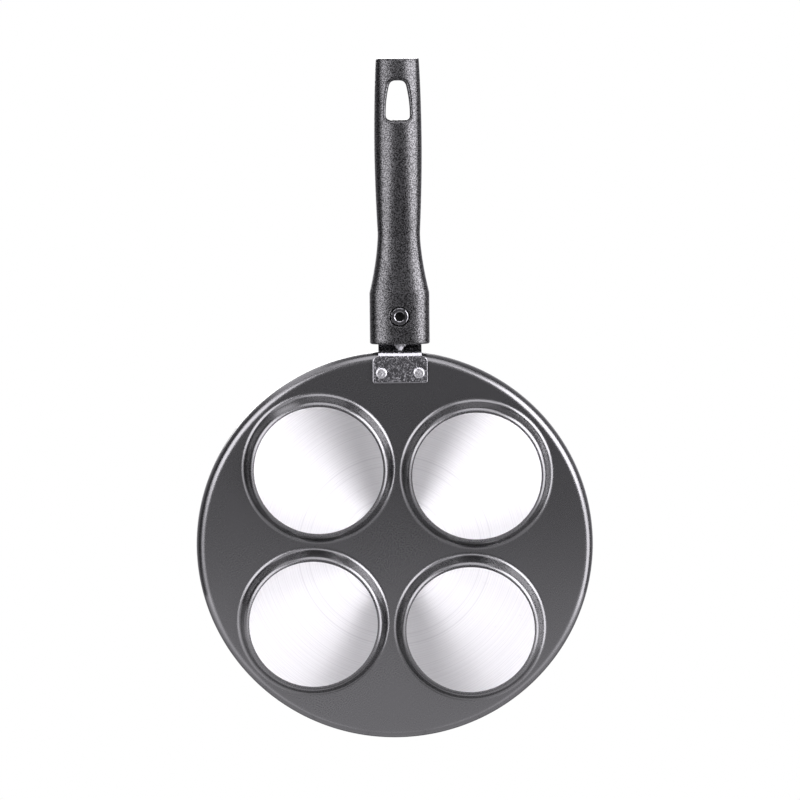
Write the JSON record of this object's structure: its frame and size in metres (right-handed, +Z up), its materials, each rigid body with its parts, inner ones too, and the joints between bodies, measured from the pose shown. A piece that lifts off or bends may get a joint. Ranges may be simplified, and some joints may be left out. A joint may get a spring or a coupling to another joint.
{
  "type": "pancake pan",
  "caption": "Round pressed aluminium pancake pan with shallow round cups, bare turned discs underneath, a riveted steel handle bracket and a moulded handle with a hanging hole.",
  "frame": {"origin": "middle of the whole part's box, on the surface that the four ground discs rest on", "axes": "+Z up out of the cooking side, -Y along the handle from the pan to its tip, +X to the right seen from the handle's tip"},
  "size_m": [0.26, 0.4484, 0.0453],
  "materials": {
    "coated_sheet": "aluminium sheet under a satin dark grey non-stick coat, with bare turned aluminium discs under the cups",
    "bracket_steel": "bright plain steel sheet with fine scratches",
    "rivet_aluminium": "bare satin aluminium",
    "handle_moulding": "dark grey heatproof moulding with a fine spark-eroded grain",
    "fastener_steel": "zinc plated steel"
  },
  "bodies": {
    "root": {"pan_body": "coated_sheet", "handle_bracket": "bracket_steel", "rivet_left": "rivet_aluminium", "rivet_right": "rivet_aluminium", "handle_grip": "handle_moulding", "handle_screw": "fastener_steel", "spring_washer": "fastener_steel", "tang_nut": "fastener_steel"}
  },
  "joints": []
}
